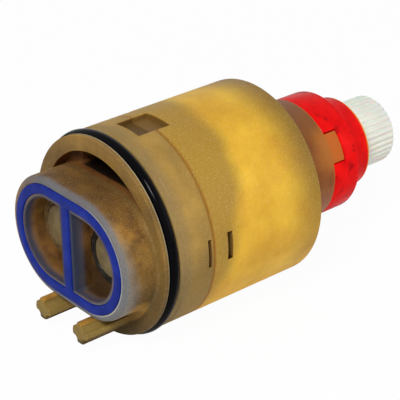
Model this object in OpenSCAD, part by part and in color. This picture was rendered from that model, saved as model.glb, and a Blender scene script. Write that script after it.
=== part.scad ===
// Mixing cartridge of a single-handle tap: a two-part moulded housing snapped together round a
// pair of check valves, a pressure-balancing spool, two ceramic discs and a splined stem.
// Each piece is drawn about its own long axis, +Z from the ports to the stem and +Y to the outlet,
// and then laid down, so that the stem points to -Y and the outlet is on top.

/* [Housing] */
// Outside diameter of the housing and of the base skirt
body_d = 38; // [37:0.5:42]
// Height of the seam above the flange face
seam_z = 10.85; // [10:0.05:12]
// Height of the shoulder above the flange face
shoulder_z = 36.6; // [36.2:0.1:40]
// Rounding of the shoulder
shoulder_round = 0.4; // [0.2:0.1:1]
// Wall of the upper housing
housing_wall = 2.2; // [1.8:0.1:2.6]
// Thickness of the end wall under the collar
end_wall = 3; // [2.5:0.1:3.2]
// Outside diameter of the collar
collar_d = 24; // [23.5:0.1:26]
// Height of the collar above the shoulder
collar_h = 10.1; // [9.8:0.1:12]
// Height of the index lugs above the collar
lug_h = 2.8; // [2:0.1:3.5]
// Radial thickness of the index lugs
lug_t = 1.8; // [1.5:0.1:2]
// Angle that each index lug covers
lug_angle = 28; // [20:1:34]
// Number of index lugs
lug_count = 3; // [2:1:4]
// Angle of the first index lug, from +X towards +Y
lug_start = 150; // [120:1:170]

/* [Key and latches] */
// Width of the key notch across the seam
key_w = 6.8; // [5:0.1:8]
// Lowest edge of the key notch
key_low = 7; // [6:0.1:8]
// Highest edge of the key notch
key_high = 14; // [13:0.1:15]
// Depth of the key notch
key_depth = 1.4; // [0.8:0.1:1.6]
// Width of a latch window
latch_w = 5.4; // [4:0.1:6]
// Height of a latch window
latch_h = 1.2; // [1:0.1:1.6]
// Height of the latch windows above the flange face
latch_z = 14; // [13.5:0.1:15]
// Height of the slot under each latch, in the skirt
slot_h = 0.8; // [0.5:0.1:1]
// Depth of the slot under each latch
slot_depth = 1.3; // [0.8:0.1:1.5]
// Number of latches
latch_count = 3; // [2:1:4]
// Angle of the first latch, from +X towards +Y
latch_start = 178; // [170:1:190]

/* [Flange and body ring] */
// Distance from the skirt's face in to the flange's edge
flange_in = 0.25; // [0.1:0.05:0.6]
// Thickness of the flange
flange_t = 0.95; // [0.8:0.05:1.3]
// Rounding of the flange's outer edge
flange_round = 0.25; // [0.15:0.05:0.45]
// Thickness of the body ring's cord
body_cord = 2; // [1.8:0.05:2.1]
// Height by which the body ring stands out of the skirt
ring_proud = 0.3; // [0.2:0.05:0.5]
// Width of the body ring's groove
groove_w = 2.4; // [2.2:0.1:2.8]
// Width of the low land behind the groove
land_w = 1.1; // [0.6:0.1:1.6]
// Depth of the low land under the skirt
land_step = 0.25; // [0.1:0.05:0.4]

/* [Port boss and seal] */
// Half the straight length of the port boss
boss_half = 5.2; // [5:0.05:5.5]
// Radius of the boss's round ends
boss_r = 11.6; // [11.4:0.1:11.8]
// Height of the boss above the flange face
boss_h = 6.93; // [6:0.1:8]
// Rounding of the boss's face edge
boss_round = 1; // [0.5:0.1:1]
// Rounding where the boss meets the flange
boss_root = 0.7; // [0.3:0.1:1]
// Lip of the boss outside the port seal
outer_lip = 1.35; // [1.05:0.05:1.4]
// Width of the port seal
seal_w = 1.95; // [1.9:0.05:2.3]
// Depth of the port seal's groove
seal_depth = 1.5; // [1:0.1:2]
// Height by which the port seal stands out of the boss
seal_proud = 0.35; // [0.2:0.05:0.5]
// Lip between the port seal and each port
inner_lip = 0.65; // [0.5:0.05:0.8]
// Width of the seal's bar between the ports
bar_w = 2.2; // [2.2:0.1:2.6]
// Depth of each port down to its check valve
port_depth = 3.93; // [3.5:0.1:4.5]

/* [Locating pegs] */
// Distance of each peg from the middle
peg_x = 5.6; // [4.5:0.1:6]
// Distance of the pegs below the axis
peg_y = 13.9; // [13.8:0.1:14.4]
// Diameter of a peg over its ribs
peg_d = 4.3; // [3.8:0.1:4.5]
// Length of the pegs from the flange face
peg_len = 9.3; // [8:0.1:12]
// Radius of the flutes along a peg
flute_r = 0.9; // [0.7:0.05:1]

/* [Outlet] */
// Outer radius of the outlet crescent
outlet_r = 15.9; // [15.5:0.1:16]
// Half the width of the through slot
outlet_half = 7.3; // [6:0.1:7.6]
// Depth of the crescent beside the through slot
outlet_recess = 2.5; // [1.5:0.1:4]

/* [Check valves] */
// Distance of each check valve from the middle
check_x = 7.2; // [7:0.05:7.3]
// Diameter of a check valve's bore
check_d = 11.4; // [11.2:0.1:11.6]
// Depth of a check valve's bore
check_len = 9.5; // [9:0.1:9.8]
// Diameter of a poppet's face
poppet_d = 8.6; // [8.3:0.1:8.8]
// Thickness of the rubber seat
seat_t = 1.1; // [0.9:0.1:1.3]
// Lift of a poppet
poppet_lift = 1.8; // [1.2:0.1:2]
// Wire of a check spring
spring_wire = 0.5; // [0.4:0.05:0.6]
// Turns of a check spring
spring_turns = 5; // [4:1:6]

/* [Pressure balance] */
// Height of the balance spool's axis above the flange face
balance_z = 15.4; // [15.3:0.1:15.6]
// Outside diameter of the balance sleeve
sleeve_d = 8.4; // [7.8:0.1:8.6]
// Length of the plug behind the balance sleeve
plug_len = 2.2; // [1.8:0.1:2.4]
// Diameter of the balance spool
spool_d = 5.8; // [5.2:0.1:6]
// Room in the sleeve beyond each end of the spool
spool_room = 3; // [2.6:0.1:3.4]
// Length of the spool's end lands
spool_land = 4.2; // [3:0.1:4.6]
// Travel of the spool to each side
spool_travel = 1.5; // [1:0.1:1.8]
// Cord of the sleeve's three rings
sleeve_cord = 0.7; // [0.6:0.05:0.8]
// Diameter of the passage from a check valve to the sleeve
feed_d = 4.6; // [4:0.1:5]
// Diameter of the passage from the sleeve to the discs
lift_d = 4.4; // [4:0.1:4.6]
// Distance of that passage from the middle
lift_x = 5.6; // [5.2:0.1:5.8]

/* [Discs and carrier] */
// Top of the base's spigot above the flange face
spigot_z = 20.8; // [20.6:0.1:21]
// Diameter of the fixed disc
fixed_d = 26; // [25:0.5:27]
// Thickness of the fixed disc
fixed_t = 3.6; // [3:0.1:3.8]
// Diameter of the moving disc
moving_d = 24; // [23:0.5:25]
// Thickness of the moving disc
moving_t = 3; // [2.8:0.1:3.2]
// Thickness of the carrier above the moving disc
carrier_t = 2.9; // [2.7:0.1:3]
// Diameter of the carrier
carrier_d = 27; // [26.5:0.5:28]
// Cord of the disc seal
disc_cord = 1.4; // [1.2:0.1:1.6]

/* [Stem] */
// Diameter of the stem in the collar's bore
journal_d = 14.8; // [14.4:0.1:15]
// Diameter over the splines
spline_d = 13.7; // [13:0.1:13.9]
// Depth of the splines
spline_depth = 0.45; // [0.3:0.05:0.6]
// Number of splines
spline_count = 36; // [24:1:40]
// Height of the stem's end above the flange face
stem_end_z = 68.1; // [66:0.1:72]
// Width of the foot's shoulder round the journal
foot_w = 3.1; // [2.6:0.1:3.6]
// Thickness of the stem's foot
foot_t = 1.4; // [1:0.1:1.6]
// Width of the stem's drive tongue
tongue_w = 5; // [4:0.1:6]
// Length of the stem's drive tongue
tongue_len = 16; // [14:0.5:17]
// Diameter of the handle screw's hole
screw_d = 4; // [3.4:0.1:4.4]
// Depth of the handle screw's hole
screw_depth = 9; // [6:0.5:9]
// Cord of the stem's two rings
stem_cord = 1.6; // [1.4:0.1:1.8]
// Thickness of the thrust washer
washer_t = 0.7; // [0.5:0.05:0.8]
// Angle that the stem turns through, from shut to the hot stop
turn_angle = 200; // [150:5:220]
// Angle that the stop fin covers
fin_angle = 24; // [16:1:30]
// Angle of the stop fin when shut, from +X towards +Y
fin_start = -10; // [-30:1:10]

/* [Limit ring] */
// Diameter of the limit ring's lower disc
limit_d = 23.7; // [23.4:0.1:24]
// Height of the lower disc
limit_disc_h = 6.6; // [6:0.1:7.5]
// Diameter of the limit ring's hub
hub_d = 18.2; // [17.4:0.1:19]
// Height of the hub above the lower disc
hub_h = 5.5; // [4.8:0.1:5.8]
// Rounding of the disc's and hub's edges
limit_round = 0.4; // [0.2:0.1:0.8]
// Height of the pocket in which the stop fin swings
pocket_h = 4.6; // [4.2:0.1:5]

/* [Fits] */
// Radial clearance of a turning or sliding fit
running_gap = 0.06; // [0.03:0.01:0.09]
// Gap at a joint between two fixed pieces
seat_gap = 0.05; // [0.02:0.01:0.1]
// Gap round a loose piece
loose_gap = 0.3; // [0.2:0.05:0.4]
// Gap between a rubber ring and the faces that it touches
touch_gap = 0.02; // [0.01:0.01:0.03]

/* [Hidden] */
$fn = 96;

// A cut reaches this far past the face that it opens
past = 1;
body_r = body_d / 2;
flange_r = body_r - flange_in;
bore_r = body_r - housing_wall;
spigot_r = bore_r - seat_gap;

// Body ring and its groove
ring_r = body_r + ring_proud - body_cord / 2;
groove_r = ring_r - body_cord / 2;
ring_z = flange_t + groove_w / 2;
land_z = flange_t + groove_w;
skirt_z = land_z + land_w + land_step;

// Port boss, seal and ports
face_z = -boss_h;
seal_r = boss_r - outer_lip;
seal_in_r = seal_r - seal_w;
port_r = seal_in_r - inner_lip;
port_x = bar_w / 2 + inner_lip;
port_z = face_z + port_depth;

// Check valves
check_r = check_d / 2;
check_top = port_z + check_len;
poppet_r = poppet_d / 2;
seat_in_r = poppet_r + 0.15;
rim_r = seat_in_r + 0.25;
rim_z = port_z + seat_t + seat_gap;
rim_t = 1;
cage_t = 1.8;
cage_z = check_top - cage_t;
guide_r = 1;
spring_r = 3;

// Balance valve
sleeve_r = sleeve_d / 2;
plug_clear = 1.1;
sleeve_len = 2 * (bore_r - plug_clear - plug_len);
spool_len = sleeve_len - 2 * spool_room;
sleeve_bore_r = sleeve_r + seat_gap;
spool_r = spool_d / 2;
sleeve_ring_x = sleeve_len / 2 - 1.6;
sleeve_ring_r = sleeve_bore_r - touch_gap - sleeve_cord / 2;

// Discs, carrier and stem, one above the other
disc_seal_lip = 0.35;
mixed_w = 5.6;
mixed_y = 7.2;
mixed_depth = 2.6;
mixed_port = 2.6;
key_seat_w = 3;
key_seat_depth = 1.2;
drive_w = 3.2;
drive_reach = 1.4;
drive_h = 1.6;
drive_gap = 0.1;
seal_top = spigot_z + 0.3;
disc_seal_z = seal_top - disc_cord;
fixed_top = seal_top + fixed_t;
moving_z = fixed_top + 0.02;
moving_top = moving_z + moving_t;
carrier_z = moving_top + seat_gap;
carrier_top = carrier_z + carrier_t;
tongue_h = 2;
wall_z = shoulder_z - end_wall;
journal_r = journal_d / 2;
foot_r = journal_r + foot_w;
washer_z = wall_z - washer_t - seat_gap;
foot_z = washer_z - foot_t;
washer_gap = 0.15;
collar_r = collar_d / 2;
collar_z = shoulder_z + collar_h;
collar_bore_r = journal_r + running_gap;
spline_r = spline_d / 2;
neck_r = spline_r - spline_depth - 0.1;
stem_ring_low = shoulder_z + 1.4;
stem_ring_high = stem_ring_low + 4;

// Limit ring
limit_z = collar_z + seat_gap;
limit_r = limit_d / 2;
hub_r = hub_d / 2;
hub_z = limit_z + limit_disc_h;
limit_bore_r = spline_r + 1.5 * loose_gap;
notch_r = collar_r - lug_t - loose_gap / 2;
pocket_r = notch_r - 0.75;
fin_clear = 0.9;
fin_r = pocket_r - fin_clear;
fin_z = limit_z + fin_clear;
fin_h = pocket_h - 2 * fin_clear;
stop_gap = 5;
// The fin's flanks and the pocket's ends lie this far from the axis, so that they meet flat
flank_r = neck_r - 0.05;
fin_flank = fin_angle / 2 + acos(flank_r / fin_r);
pocket_flank = turn_angle / 2 + fin_flank + stop_gap;

amber = "#C8A04A";
beige = "#B9AE8C";
rubber = "#15161A";
steel = "#B8BCC0";
ceramic = "#EDEBE4";

// Lays a piece down: its own +Z points to -Y, and its own +Y points up
module lay() {
    rotate([90, 0, 0]) children();
}

// Points of an arc in a profile, from one angle to another
function arc(x, y, r, from, to, steps = 6) =
    [for (i = [0:steps]) let (a = from + (to - from) * i / steps) [x + r * cos(a), y + r * sin(a)]];

// A ring of rectangular section between two radii and two heights, with square edges
module band(r_in, r_out, low, high) {
    rotate_extrude() translate([r_in, low]) square([r_out - r_in, high - low]);
}

// A sector of a ring, centred on an angle
module sector(r_in, r_out, low, high, middle, width) {
    rotate([0, 0, middle - width / 2])
        rotate_extrude(angle = width) translate([r_in, low]) square([r_out - r_in, high - low]);
}

// A profile of radius and height carried round a racetrack: two half turns and two straights
module racetrack(half) {
    for (side = [0, 180])
        rotate([0, 0, side]) translate([half, 0, 0]) rotate_extrude(angle = 180, start = -90) children();
    for (side = [0, 180])
        rotate([0, 0, side]) translate([-half, 0, 0]) rotate([90, 0, 90]) linear_extrude(2 * half) children();
}

// A solid racetrack between two heights
module racetrack_block(half, r, low, high) {
    racetrack(half) translate([0, low]) square([r, high - low]);
}

// Repeats a piece at equal angles
module around(count, start) {
    for (i = [0:count - 1]) rotate([0, 0, start + i * 360 / count]) children();
}

// A torus of round cord
module cord_ring(r, z, cord) {
    rotate_extrude() translate([r, z]) circle(d = cord, $fn = 32);
}

// The two ports in the boss face: a racetrack split by the wall under the seal's bar
module ports(low, high, r = port_r, from_x = port_x) {
    intersection() {
        racetrack_block(boss_half, r, low, high);
        for (side = [0, 180]) rotate([0, 0, side])
            translate([from_x, -2 * boss_r, low]) cube([2 * boss_r, 4 * boss_r, high - low]);
    }
}

// Skirt, flange and spigot of the base as one turned profile
module base_turning() {
    rotate_extrude() polygon(concat(
        [[0, 0]],
        arc(flange_r - flange_round, flange_round, flange_round, -90, 0),
        [[flange_r, flange_t], [groove_r, flange_t], [groove_r, land_z],
         [body_r - land_step, land_z], [body_r - land_step, land_z + land_w],
         [body_r, skirt_z], [body_r, seam_z], [spigot_r, seam_z],
         [spigot_r, spigot_z - 0.5], [spigot_r - 0.5, spigot_z], [0, spigot_z]]));
}

// Boss with its rounded face edge
module boss() {
    racetrack(boss_half) polygon(concat(
        [[0, face_z]],
        arc(boss_r - boss_round, face_z + boss_round, boss_round, -90, 0),
        arc(boss_r + boss_root, -boss_root, boss_root, 180, 90),
        [[boss_r + boss_root, flange_t], [0, flange_t]]));
}

// Locating peg: a rod whose four deep flutes leave a cross; its top rib runs into the boss
module peg() {
    peg_r = peg_d / 2;
    bevel = 0.25;
    rib_w = 1.2;
    translate([-rib_w / 2, 0, boss_round - boss_h]) cube([rib_w, peg_y - boss_r + 0.5, boss_h]);
    difference() {
        rotate_extrude() polygon([[0, -peg_len], [peg_r - bevel, -peg_len], [peg_r, bevel - peg_len],
            [peg_r, flange_t], [0, flange_t]]);
        around(4, 45) translate([peg_r + 0.1, 0, -peg_len - past])
            cylinder(r = flute_r, h = peg_len + past, $fn = 24);
    }
}

// Outlet: a crescent round the boss, cut right through the base at its middle
module outlet_cut() {
    difference() {
        translate([0, 0, -past]) cylinder(r = outlet_r, h = past + outlet_recess);
        racetrack_block(boss_half, boss_r, -2 * past, outlet_recess + past);
        translate([-body_d, -2 * body_d, -2 * past]) cube([2 * body_d, 2 * body_d, body_d]);
    }
    intersection() {
        translate([0, 0, -past]) cylinder(r = outlet_r, h = spigot_z + 2 * past);
        translate([-outlet_half, boss_r, -past]) cube([2 * outlet_half, body_r, spigot_z + 2 * past]);
    }
}

// Everything cut out of the base behind its ports
module base_channels() {
    for (side = [-1, 1]) {
        translate([side * check_x, 0, port_z]) cylinder(d = check_d, h = check_len);
        translate([side * check_x, 0, port_z]) cylinder(d = feed_d, h = balance_z - port_z, $fn = 48);
        translate([side * lift_x, 0, balance_z]) cylinder(d = lift_d, h = spigot_z, $fn = 48);
    }
    translate([-sleeve_len / 2 - seat_gap, 0, balance_z]) rotate([0, 90, 0])
        cylinder(r = sleeve_bore_r, h = body_d);
    // Way from the mixed port of the discs to the outlet slot
    translate([-mixed_w / 2, mixed_y, spigot_z - mixed_depth])
        cube([mixed_w, boss_r - mixed_y + past, mixed_depth + past]);
}

// Spectacle-shaped outline of the disc seal, or of its groove, at a given clearance on each edge
module disc_seal_outline(clearance) {
    half_w = disc_cord / 2 + clearance;
    middle_r = lift_d / 2 + disc_seal_lip + disc_cord / 2;
    difference() {
        union() {
            for (side = [-1, 1]) translate([side * lift_x, 0]) circle(r = middle_r + half_w, $fn = 64);
            translate([-lift_x, -half_w]) square([2 * lift_x, 2 * half_w]);
        }
        for (side = [-1, 1]) translate([side * lift_x, 0]) circle(r = middle_r - half_w, $fn = 64);
    }
}

// Latch hook on the spigot, sloped towards the housing's lead-in
module latch_hook() {
    hook_w = latch_w - 2 * 0.15;
    low = latch_z + 0.1;
    high = latch_z + latch_h - 0.1;
    reach = body_r - 0.7;
    rotate([90, 0, 0]) translate([0, 0, -hook_w / 2]) linear_extrude(hook_w)
        polygon([[spigot_r - 0.6, low], [reach, low], [spigot_r - 0.1, high], [spigot_r - 0.6, high]]);
}

module base() {
    color(amber) lay() difference() {
        union() {
            base_turning();
            boss();
            for (side = [-1, 1]) translate([side * peg_x, -peg_y, 0]) peg();
            around(latch_count, latch_start) latch_hook();
        }
        // Groove of the port seal, with the bar's groove between the ports
        difference() {
            racetrack_block(boss_half, seal_r, face_z - past, face_z + seal_depth);
            ports(face_z - 2 * past, face_z + boss_h, r = seal_in_r, from_x = bar_w / 2);
        }
        ports(face_z - 2 * past, port_z);
        outlet_cut();
        base_channels();
        // Key notch, and the slot under each latch
        translate([-key_w / 2, body_r - key_depth, key_low]) cube([key_w, body_r, seam_z]);
        around(latch_count, latch_start)
            translate([body_r - slot_depth, -latch_w / 2, seam_z - 0.5 - slot_h]) cube([body_r, latch_w, slot_h]);
        translate([0, 0, disc_seal_z]) linear_extrude(disc_cord) disc_seal_outline(seat_gap);
    }
}

module upper_housing() {
    mouth = 0.6;
    color(amber) lay() difference() {
        rotate_extrude() polygon(concat(
            [[bore_r + mouth, seam_z + seat_gap], [body_r - 0.15, seam_z + seat_gap],
             [body_r, seam_z + seat_gap + 0.15]],
            arc(body_r - shoulder_round, shoulder_z - shoulder_round, shoulder_round, 0, 90),
            [[collar_r, shoulder_z], [collar_r, collar_z + lug_h], [collar_r - lug_t, collar_z + lug_h],
             [collar_r - lug_t, collar_z], [collar_bore_r + 0.5, collar_z],
             [collar_bore_r, collar_z - 0.5], [collar_bore_r, wall_z], [bore_r, wall_z],
             [bore_r, seam_z + seat_gap + mouth]]));
        // Ways between the index lugs
        around(lug_count, lug_start + 180 / lug_count)
            sector(collar_bore_r + 1, body_r, collar_z, collar_z + lug_h + past, 0, 360 / lug_count - lug_angle);
        translate([-key_w / 2, body_r - key_depth, seam_z - past]) cube([key_w, body_r, key_high - seam_z + past]);
        around(latch_count, latch_start)
            translate([bore_r - past, -latch_w / 2, latch_z]) cube([body_r, latch_w, latch_h]);
    }
}

// Theta-shaped face seal round both ports
module port_seal() {
    ease = 0.25;
    low = face_z - seal_proud;
    high = face_z + seal_depth;
    in_r = seal_in_r + seat_gap;
    out_r = seal_r - seat_gap;
    color("#1E38B4") lay() union() {
        racetrack(boss_half) polygon([[in_r, high], [in_r, low + ease], [in_r + ease, low],
            [out_r - ease, low], [out_r, low + ease], [out_r, high]]);
        bar_half = bar_w / 2 - seat_gap;
        translate([0, seal_in_r + 0.5, 0]) rotate([90, 0, 0]) linear_extrude(2 * seal_in_r + 1)
            polygon([[-bar_half, high], [-bar_half, low + ease], [ease - bar_half, low],
                [bar_half - ease, low], [bar_half, low + ease], [bar_half, high]]);
    }
}

module body_ring() {
    color(rubber) lay() cord_ring(ring_r, ring_z, body_cord);
}

// Rubber ring with two round beads at the mouth of a check valve; the poppet's rim closes on it
module check_seat(side) {
    out_r = check_r - seat_gap;
    bead = (out_r - seat_in_r) / 4;
    color(rubber) lay() translate([side * check_x, 0, 0]) rotate_extrude() polygon(concat(
        [[seat_in_r, port_z + seat_t]],
        arc(seat_in_r + bead, port_z + bead, bead, 180, 350),
        arc(out_r - bead, port_z + bead, bead, 190, 360),
        [[out_r, port_z + seat_t]]));
}

// Mushroom poppet: a face that shows in the port, a rim that seals and a guide stem
module check_poppet(side) {
    dome = 0.3;
    color(beige) lay() translate([side * check_x, 0, 0]) rotate_extrude() polygon([
        [0, port_z - 0.1], [poppet_r - dome, port_z - 0.1], [poppet_r, port_z - 0.1 + dome],
        [poppet_r, rim_z], [rim_r, rim_z], [rim_r, rim_z + rim_t], [guide_r + 0.8, rim_z + rim_t],
        [guide_r, rim_z + rim_t + 0.8], [guide_r, check_top - 0.2 - poppet_lift / 2],
        [0, check_top - 0.2 - poppet_lift / 2]]);
}

// Open coil spring swept along a helix with one flat turn at each end
function helix_z(t, turns, rise) = rise * min(max((t - 0.75) / (turns - 1.5), 0), 1);

module coil_spring(r, wire, turns, height) {
    sides = 6;
    per_turn = 16;
    rise = height - wire;
    count = turns * per_turn;
    points = [for (i = [0:count], k = [0:sides - 1])
        let (t = i / per_turn, turn = 360 * t, around_wire = 360 * k / sides,
             out = r + wire / 2 * cos(around_wire))
        [out * cos(turn), out * sin(turn),
         wire / 2 + helix_z(t, turns, rise) + wire / 2 * sin(around_wire)]];
    walls = [for (i = [0:count - 1], k = [0:sides - 1])
        let (a = i * sides, b = a + sides, n = (k + 1) % sides) [a + k, a + n, b + n, b + k]];
    polyhedron(points, concat([[for (k = [sides - 1:-1:0]) k]], walls,
        [[for (k = [0:sides - 1]) count * sides + k]]));
}

module check_spring(side) {
    low = rim_z + rim_t + seat_gap;
    color(steel) lay() translate([side * check_x, 0, low])
        coil_spring(spring_r, spring_wire, spring_turns, cage_z - low - seat_gap);
}

// Cage that guides the poppet: a spoked plate whose four legs reach down to the seat
module check_cage(side) {
    out_r = check_r - seat_gap;
    leg_in_r = rim_r + 0.1;
    low = port_z + seat_t + seat_gap;
    high = check_top - seat_gap;
    bore = guide_r + running_gap;
    spoke_angle = 26;
    color(beige) lay() translate([side * check_x, 0, 0]) difference() {
        rotate_extrude() polygon([[bore, cage_z], [leg_in_r, cage_z], [leg_in_r, low],
            [out_r, low], [out_r, high], [bore, high]]);
        around(4, 0) sector(leg_in_r - past, check_r + past, low - past, cage_z - 0.3, 0, 90 - spoke_angle);
        around(4, 0) sector(guide_r + 1.1, out_r - 1.1, cage_z - past, high + past, 0, 90 - spoke_angle);
    }
}

// Turns a profile of radius and height about the balance valve's own axis, along X
module across() {
    translate([0, 0, balance_z]) rotate([0, 90, 0]) children();
}

module balance_sleeve() {
    half = sleeve_len / 2;
    groove = sleeve_cord + 0.2;
    color(beige) lay() difference() {
        across() translate([0, 0, -half]) cylinder(r = sleeve_r, h = sleeve_len);
        across() translate([0, 0, -half - past]) cylinder(r = spool_r + running_gap, h = sleeve_len + 2 * past);
        for (x = [-sleeve_ring_x, 0, sleeve_ring_x])
            across() band(sleeve_ring_r - sleeve_cord / 2 - touch_gap, sleeve_r + past,
                x - groove / 2, x + groove / 2);
        for (side = [-1, 1]) {
            translate([side * check_x, 0, balance_z - sleeve_r - past])
                cylinder(d = feed_d - 1, h = sleeve_r + past, $fn = 48);
            translate([side * lift_x, 0, balance_z]) cylinder(d = lift_d - 0.6, h = sleeve_r + past, $fn = 48);
        }
    }
}

// Spool with three lands; the grooves between them meter hot and cold alike
module balance_spool() {
    half = spool_len / 2;
    groove_end = half - spool_land;
    waist = spool_r - 1.1;
    land = 2.2;
    color(steel) lay() across() rotate_extrude() polygon([
        [0, -half], [spool_r - 0.3, -half], [spool_r, 0.3 - half], [spool_r, -groove_end],
        [waist, -groove_end], [waist, -land], [spool_r, -land], [spool_r, land], [waist, land],
        [waist, groove_end], [spool_r, groove_end], [spool_r, half - 0.3], [spool_r - 0.3, half], [0, half]]);
}

// Plug that closes the sleeve's bore, held in by the upper housing
module balance_plug() {
    rim_w = 1.2;
    dish = plug_len / 2;
    color(beige) lay() across() translate([0, 0, sleeve_len / 2 + seat_gap]) difference() {
        cylinder(r = sleeve_r, h = plug_len);
        translate([0, 0, plug_len - dish]) cylinder(r = sleeve_r - rim_w, h = dish + past);
    }
}

module sleeve_ring(x) {
    color(rubber) lay() across() cord_ring(sleeve_ring_r, x, sleeve_cord);
}

// Spectacle-shaped seal between the base and the fixed disc
module disc_seal() {
    color(rubber) lay() translate([0, 0, disc_seal_z + touch_gap])
        linear_extrude(disc_cord - 2 * touch_gap) disc_seal_outline(0);
}

// Ceramic disc with a port for each supply and one for the mixed water
module fixed_disc() {
    color(ceramic) lay() difference() {
        translate([0, 0, seal_top]) cylinder(d = fixed_d, h = fixed_t);
        for (side = [-1, 1])
            translate([side * lift_x, 0, seal_top - past]) cylinder(d = lift_d, h = fixed_t + 2 * past, $fn = 48);
        translate([-mixed_w / 2 + seat_gap, mixed_y + seat_gap, seal_top - past])
            cube([mixed_w - 2 * seat_gap, mixed_port, fixed_t + 2 * past]);
        // Two keys' seats in the rim
        for (side = [0, 180]) rotate([0, 0, side])
            translate([fixed_d / 2 - key_seat_depth, -key_seat_w / 2, seal_top - past])
                cube([key_seat_w, key_seat_w, fixed_t + 2 * past]);
    }
}

// Ceramic disc that turns on the fixed one; the hollow in its face mixes the two supplies
module moving_disc() {
    hollow = 1.9;
    rim_w = 2;
    core_r = 3.2;
    color(ceramic) lay() difference() {
        translate([0, 0, moving_z]) cylinder(d = moving_d, h = moving_t);
        translate([0, 0, moving_z - past]) linear_extrude(hollow + past) difference() {
            circle(r = moving_d / 2 - rim_w);
            circle(r = core_r, $fn = 48);
            translate([-moving_d, -2 * moving_d]) square([2 * moving_d, 2 * moving_d]);
        }
        around(3, 90) translate([moving_d / 2 - drive_reach, -drive_w / 2, moving_top - drive_h])
            cube([drive_w, drive_w, drive_h + past]);
    }
}

// Carrier: three lugs drive the disc, and a slot takes the stem's tongue
module disc_carrier() {
    lug_reach = drive_reach - drive_gap;
    lug_w = drive_w - 2 * drive_gap;
    lug_low = moving_top - drive_h + drive_gap;
    slot_l = tongue_len + 2 * drive_gap;
    slot_w = tongue_w + 2 * drive_gap;
    rim_w = 1.4;
    dish = 1.2;
    color("#3A3B3E") lay() difference() {
        union() {
            translate([0, 0, carrier_z]) cylinder(d = carrier_d, h = carrier_t);
            around(3, 90) translate([moving_d / 2 - lug_reach, -lug_w / 2, lug_low])
                cube([lug_reach, lug_w, carrier_z + 0.5 - lug_low]);
        }
        translate([-slot_l / 2, -slot_w / 2, carrier_top - tongue_h - drive_gap])
            cube([slot_l, slot_w, tongue_h + past]);
        band(slot_l / 2 + 0.5, carrier_d / 2 - rim_w, carrier_top - dish, carrier_top + past);
    }
}

// Outline of the splined end: shallow rounded teeth all round
module spline_outline() {
    pitch = 360 / spline_count;
    polygon([for (i = [0:spline_count - 1], step = [[0.0, 0], [0.3, 0], [0.5, 1], [0.8, 1]])
        let (a = (i + step[0]) * pitch, r = spline_r - (step[1] == 0 ? 0 : spline_depth)) [r * cos(a), r * sin(a)]]);
}

// Stop fin, whose flanks run out into the neck
module stop_fin() {
    foot = flank_r * [cos(fin_flank), sin(fin_flank)];
    translate([0, 0, fin_z]) rotate([0, 0, fin_start]) intersection() {
        cylinder(r = fin_r, h = fin_h, $fn = 96);
        linear_extrude(fin_h) polygon([[0, 0], [foot[0], -foot[1]], [flank_r / cos(fin_flank), 0], foot]);
    }
}

module stem() {
    end_bevel = 0.3;
    spline_z = hub_z + hub_h - 2;
    groove = stem_cord + 0.3;
    color("#DEE0D6") lay() difference() {
        union() {
            translate([-tongue_len / 2, -tongue_w / 2, carrier_top - tongue_h])
                cube([tongue_len, tongue_w, foot_z - carrier_top + tongue_h + 0.5]);
            rotate_extrude() polygon([[0, foot_z], [foot_r, foot_z], [foot_r, foot_z + foot_t],
                [journal_r, foot_z + foot_t], [journal_r, collar_z - 0.3], [neck_r, limit_z],
                [neck_r, spline_z + 0.6], [0, spline_z + 0.6]]);
            intersection() {
                translate([0, 0, spline_z]) linear_extrude(stem_end_z - spline_z) spline_outline();
                rotate_extrude() polygon([[0, spline_z], [spline_r, spline_z],
                    [spline_r, stem_end_z - end_bevel], [spline_r - end_bevel, stem_end_z], [0, stem_end_z]]);
            }
            stop_fin();
        }
        for (z = [stem_ring_low, stem_ring_high])
            band(journal_r - stem_cord, journal_r + past, z - groove / 2, z + groove / 2);
        translate([0, 0, stem_end_z - screw_depth]) cylinder(d = screw_d, h = screw_depth + past, $fn = 48);
    }
}

module stem_ring(z) {
    color(rubber) lay() cord_ring(journal_r - stem_cord / 2, z, stem_cord);
}

module thrust_washer() {
    color("#E8E8E4") lay() band(journal_r + washer_gap, foot_r - 0.5, washer_z, washer_z + washer_t);
}

// Pocket in which the fin swings, with ends that lie flat against its flanks at the stops
module stop_pocket() {
    tip = flank_r / cos(pocket_flank);
    mouth_x = pocket_r + past;
    half_w = (mouth_x - tip) * tan(pocket_flank - 90);
    rotate([0, 0, fin_start + turn_angle / 2]) intersection() {
        band(limit_bore_r - past, pocket_r, limit_z - past, limit_z + pocket_h);
        translate([0, 0, limit_z - 2 * past]) linear_extrude(pocket_h + 3 * past)
            polygon([[tip, 0], [mouth_x, -half_w], [mouth_x, half_w]]);
    }
}

// Limit ring: a notched disc keyed to the collar, a hub, and a pocket that stops the fin
module limit_ring() {
    color("#E41C24") lay() difference() {
        rotate_extrude() polygon(concat(
            [[limit_bore_r, limit_z]],
            arc(limit_r - limit_round, limit_z + limit_round, limit_round, -90, 0, 4),
            arc(limit_r - limit_round, hub_z - limit_round, limit_round, 0, 90, 4),
            [[hub_r, hub_z]],
            arc(hub_r - limit_round, hub_z + hub_h - limit_round, limit_round, 0, 90, 4),
            [[limit_bore_r, hub_z + hub_h]]));
        around(lug_count, lug_start)
            sector(notch_r, body_r, limit_z - past, limit_z + lug_h + loose_gap, 0, lug_angle + 3);
        stop_pocket();
    }
}

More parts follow.
